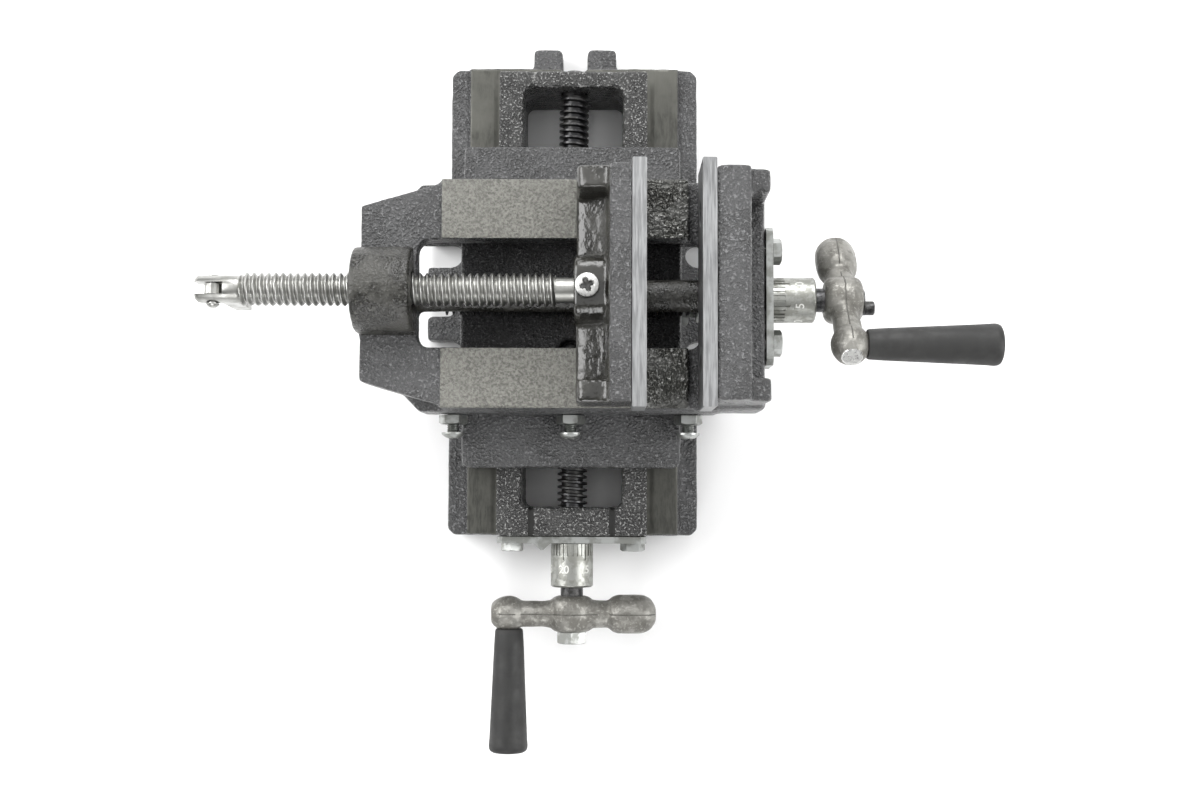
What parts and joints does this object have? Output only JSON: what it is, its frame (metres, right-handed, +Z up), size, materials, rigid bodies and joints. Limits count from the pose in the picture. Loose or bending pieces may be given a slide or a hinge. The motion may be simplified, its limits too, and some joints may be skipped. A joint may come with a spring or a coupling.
{
  "type": "cross-slide bench vise",
  "caption": "Compound bench vise: jaws on a cross slide moved by two cranked feed screws, with a slotted base for a machine table.",
  "frame": {"origin": "middle of the base's underside, on its cross web", "axes": "+Z up; +Y to the back, away from the Y crank; +X to the fixed jaw and the X crank"},
  "size_m": [0.337, 0.3349, 0.134],
  "materials": {
    "cast_iron_paint": "semi-gloss charcoal paint over rough casting, machined ways left bare",
    "gloss_paint": "glossy dark paint over rough casting",
    "ground_steel": "ground and brushed",
    "bright_screw": "bright plated",
    "zinc_plate": "bright zinc plate",
    "zinc_collar": "blotchy zinc plate with stamped scale",
    "black_oxide": "black oxide",
    "cast_zinc": "dull die-cast",
    "bronze_nut": "machined",
    "grip_plastic": "matte moulded"
  },
  "bodies": {
    "base": {"base": "cast_iron_paint", "y_bearing_plate": "zinc_plate", "y_plate_bolt_left": "zinc_plate", "y_plate_bolt_right": "zinc_plate"},
    "y_screw": {"y_lead_screw": "black_oxide", "y_dial_collar": "zinc_collar", "y_crank_arm": "cast_zinc", "y_crank_bolt": "zinc_plate", "y_handle_spindle": "black_oxide"},
    "y_grip": {"y_handle_grip": "grip_plastic"},
    "saddle": {"saddle": "cast_iron_paint", "y_feed_nut": "bronze_nut", "y_nut_screw": "black_oxide", "saddle_gib": "zinc_plate", "saddle_gib_screw_1": "zinc_plate", "saddle_gib_screw_2": "zinc_plate", "saddle_gib_screw_3": "zinc_plate", "saddle_gib_locknut_1": "zinc_plate", "saddle_gib_locknut_2": "zinc_plate", "saddle_gib_locknut_3": "zinc_plate", "x_feed_nut": "bronze_nut", "x_nut_screw_1": "zinc_plate", "x_nut_screw_2": "zinc_plate"},
    "vise_body": {"vise_body": "cast_iron_paint", "fixed_jaw_plate": "ground_steel", "fixed_plate_screw_1": "black_oxide", "fixed_plate_screw_2": "black_oxide", "body_gib": "zinc_plate", "body_gib_screw_1": "zinc_plate", "body_gib_screw_2": "zinc_plate", "body_gib_screw_3": "zinc_plate", "body_gib_locknut_1": "zinc_plate", "body_gib_locknut_2": "zinc_plate", "body_gib_locknut_3": "zinc_plate", "x_bearing_plate": "zinc_plate", "x_plate_bolt_1": "zinc_plate", "x_plate_bolt_2": "zinc_plate"},
    "x_screw": {"x_lead_screw": "black_oxide", "x_dial_collar": "zinc_collar", "x_crank_arm": "cast_zinc", "x_crank_end_screw": "black_oxide", "x_handle_spindle": "black_oxide"},
    "x_grip": {"x_handle_grip": "grip_plastic"},
    "movable_jaw": {"movable_jaw": "gloss_paint", "moving_jaw_plate": "ground_steel", "moving_plate_screw_1": "black_oxide", "moving_plate_screw_2": "black_oxide", "jaw_keeper_front": "zinc_plate", "jaw_keeper_back": "zinc_plate", "keeper_screw_front": "zinc_plate", "keeper_screw_back": "zinc_plate", "screw_retainer": "zinc_plate"},
    "jaw_screw": {"jaw_screw": "bright_screw", "lever_rivet": "bright_screw"},
    "lever": {"folding_lever": "bright_screw"}
  },
  "joints": [
    {"name": "saddle_slide", "type": "slide", "parent": "base", "child": "saddle", "axis": [0, 1, 0], "range_m": [-0.03, 0.072]},
    {"name": "y_crank_turn", "type": "hinge", "parent": "base", "child": "y_screw", "pos_m": [0, -0.1, 0.027], "axis": [0, 1, 0], "range_deg": [-3601, 8641]},
    {"name": "y_grip_spin", "type": "hinge", "parent": "y_screw", "child": "y_grip", "pos_m": [-0.029, -0.15, 0.027], "axis": [0, 1, 0], "continuous": true},
    {"name": "body_slide", "type": "slide", "parent": "saddle", "child": "vise_body", "axis": [1, 0, 0], "range_m": [-0.038, 0.061]},
    {"name": "x_crank_turn", "type": "hinge", "parent": "vise_body", "child": "x_screw", "pos_m": [0.095, -0.0068, 0.077], "axis": [1, 0, 0], "range_deg": [-4561, 7321]},
    {"name": "x_grip_spin", "type": "hinge", "parent": "x_screw", "child": "x_grip", "pos_m": [0.12, -0.02801, 0.09678], "axis": [1, 0, 0], "continuous": true},
    {"name": "jaw_slide", "type": "slide", "parent": "vise_body", "child": "movable_jaw", "axis": [1, 0, 0], "range_m": [-0.056, 0.022]},
    {"name": "jaw_screw_turn", "type": "hinge", "parent": "movable_jaw", "child": "jaw_screw", "pos_m": [-0.06, -0.0068, 0.107], "axis": [1, 0, 0], "range_deg": [-6721, 2641]},
    {"name": "lever_fold", "type": "hinge", "parent": "jaw_screw", "child": "lever", "pos_m": [-0.1479, -0.0068, 0.107], "axis": [0, 1, 0], "range_deg": [0, 180]}
  ],
  "couplings": [
    {"joint": "y_crank_turn", "follows": "saddle_slide", "rad_per_m": 2094.4},
    {"joint": "x_crank_turn", "follows": "body_slide", "rad_per_m": 2094.4},
    {"joint": "jaw_screw_turn", "follows": "jaw_slide", "rad_per_m": 2094.4}
  ]
}
